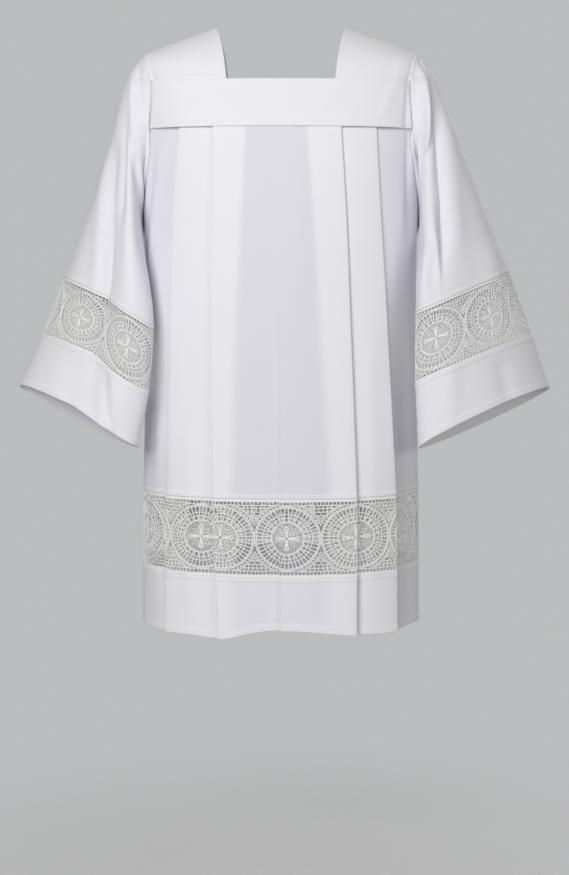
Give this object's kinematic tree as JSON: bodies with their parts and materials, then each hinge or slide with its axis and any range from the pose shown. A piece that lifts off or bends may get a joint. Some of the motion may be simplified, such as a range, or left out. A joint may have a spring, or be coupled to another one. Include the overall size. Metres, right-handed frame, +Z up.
{
  "type": "surplice",
  "caption": "Square-necked surplice with bell sleeves, knife-pleated front and back, and bands of medallion lace above a plain hem and cuffs.",
  "frame": {"origin": "middle of the shoulder line, between the wearer's shoulders, where the garment is carried", "axes": "+X to the wearer's left, -Y to the front, +Z up"},
  "size_m": [0.8811, 0.3131, 0.982],
  "materials": {
    "cloth": "smooth plain-woven white cotton and polyester",
    "lace": "white guipure lace of matt cotton thread"
  },
  "bodies": {
    "root": {"band_front": "cloth", "panel_front": "cloth", "lace_front": "lace", "hem_front": "cloth", "band_back": "cloth", "panel_back": "cloth", "lace_back": "lace", "hem_back": "cloth", "strap_left": "cloth", "sleeve_left": "cloth", "sleeve_lace_left_front": "lace", "sleeve_lace_left_back": "lace", "cuff_left": "cloth", "strap_right": "cloth", "sleeve_right": "cloth", "sleeve_lace_right_front": "lace", "sleeve_lace_right_back": "lace", "cuff_right": "cloth"}
  },
  "joints": []
}
